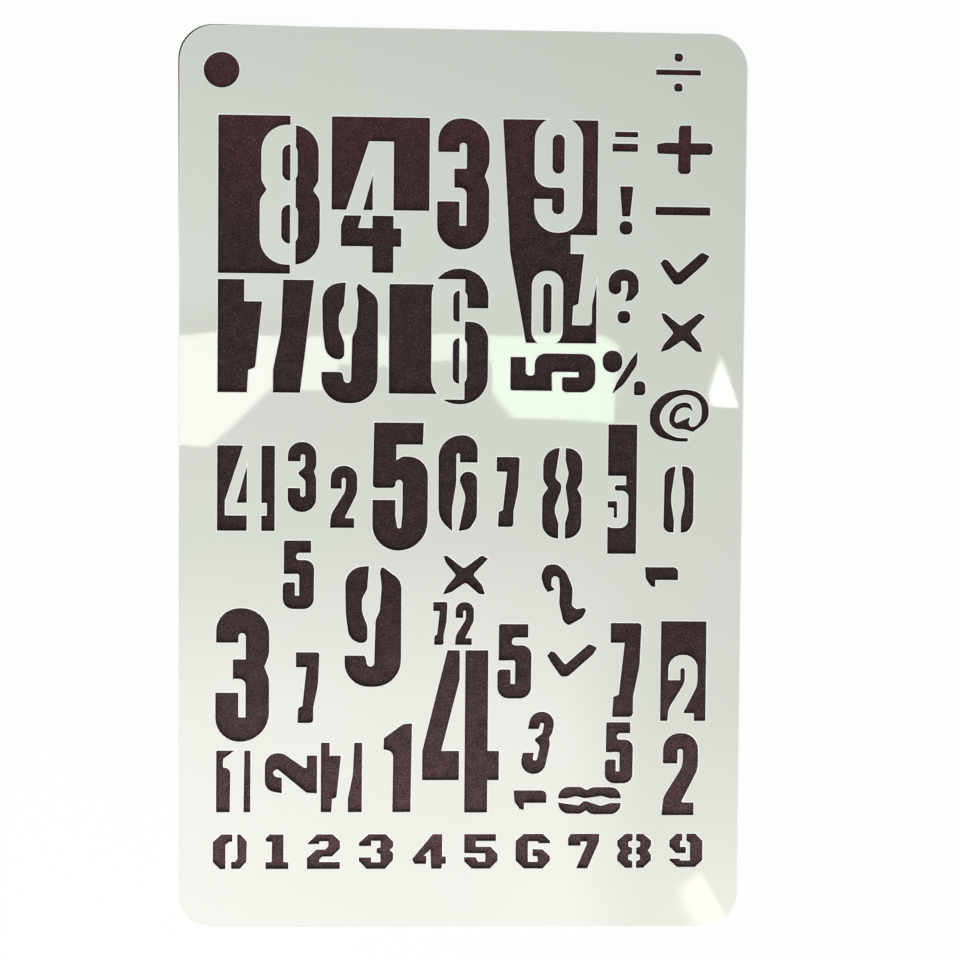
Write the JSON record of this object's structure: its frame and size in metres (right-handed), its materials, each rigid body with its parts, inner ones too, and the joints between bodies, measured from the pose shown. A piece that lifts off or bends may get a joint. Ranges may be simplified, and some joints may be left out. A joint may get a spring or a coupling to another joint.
{
  "type": "lettering stencil",
  "caption": "Thin rectangular plastic drawing stencil with rounded corners, a round hanging hole and bridged cut-out numerals and arithmetic signs in many sizes.",
  "frame": {"origin": "middle of the sheet, on the face that it lies on", "axes": "+X towards the sheet's right edge, +Y towards its top edge with the hanging hole, +Z out of its front face"},
  "size_m": [0.113, 0.18, 0.0005],
  "materials": {
    "sheet_plastic": "glossy pale greenish-white polyester film, slightly translucent"
  },
  "bodies": {
    "root": {"stencil_sheet": "sheet_plastic"}
  },
  "joints": []
}
